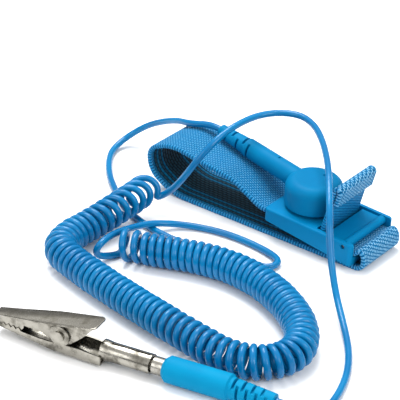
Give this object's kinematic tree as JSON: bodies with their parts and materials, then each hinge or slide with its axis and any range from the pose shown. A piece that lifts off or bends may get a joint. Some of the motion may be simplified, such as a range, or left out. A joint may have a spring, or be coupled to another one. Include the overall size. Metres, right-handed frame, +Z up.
{
  "type": "esd wrist strap",
  "caption": "Anti-static wrist strap: elastic band with lever clasp, swivelling snap cap, coiled cord, banana plug and alligator clip.",
  "frame": {"origin": "on the table under the band's loop, 1 mm from its middle towards the clasp", "axes": "+X along the loop towards the clasp, +Y across the band away from the coil, +Z up"},
  "size_m": [0.1331, 0.1094, 0.0286],
  "materials": {
    "band_knit": "ribbed elastic knit",
    "band_lining": "conductive elastic knit",
    "clasp_plastic": "satin moulding",
    "cap_plastic": "satin moulding",
    "cord_jacket": "glossy flexible jacket",
    "boot_plastic": "soft moulding",
    "contact_steel": "plain stainless",
    "snap_metal": "nickel plated",
    "spring_steel": "spring wire",
    "resistor_body": "lacquered",
    "tinned_wire": "tinned copper",
    "crimp_brass": "plain",
    "plug_nickel": "nickel plated",
    "clip_nickel": "nickel plated sheet"
  },
  "bodies": {
    "strap": {"band_knit": "band_knit", "band_lining": "band_lining", "clasp_base": "clasp_plastic", "contact_plate": "contact_steel", "lever_pin": "contact_steel", "snap_stud": "snap_metal", "lead_snap": "cord_jacket", "cord_coil": "cord_jacket", "lead_plug": "cord_jacket", "plug_boot": "boot_plastic", "banana_core": "plug_nickel"},
    "lever": {"clasp_lever": "clasp_plastic"},
    "socket": {"snap_socket": "snap_metal", "socket_spring": "spring_steel"},
    "cap": {"snap_cap": "cap_plastic", "resistor": "resistor_body", "resistor_lead_front": "tinned_wire", "resistor_lead_back": "tinned_wire", "snap_crimp": "crimp_brass", "cord_end": "cord_jacket"},
    "lantern": {"banana_spring": "plug_nickel"},
    "clip_lower": {"clip_lower_jaw": "clip_nickel", "clip_rivet": "clip_nickel", "clip_spring": "spring_steel"},
    "clip_upper": {"clip_upper_jaw": "clip_nickel"}
  },
  "joints": [
    {"name": "lever_hinge", "type": "hinge", "parent": "strap", "child": "lever", "pos_m": [0.0322, 0, 0.00725], "axis": [0, 1, 0], "range_deg": [0, 85]},
    {"name": "snap_slide", "type": "slide", "parent": "strap", "child": "socket", "axis": [0.0523, 0, 0.9986], "range_m": [0, 0.004]},
    {"name": "cap_swivel", "type": "hinge", "parent": "socket", "child": "cap", "pos_m": [0.01429, 0, 0.00949], "axis": [0.0523, 0, 0.9986], "range_deg": [-45, 18]},
    {"name": "plug_turn", "type": "hinge", "parent": "strap", "child": "lantern", "pos_m": [0.028, -0.0824, 0.0037], "axis": [0.9799, 0.1994, 0], "continuous": true},
    {"name": "clip_slide", "type": "slide", "parent": "lantern", "child": "clip_lower", "axis": [-0.9799, -0.1994, 0], "range_m": [0, 0.016]},
    {"name": "clip_jaw", "type": "hinge", "parent": "clip_lower", "child": "clip_upper", "pos_m": [-0.00091, -0.08828, 0.0062], "axis": [-0.1994, 0.9799, 0], "range_deg": [0, 18], "stiffness_Nm_per_rad": 0.02}
  ]
}
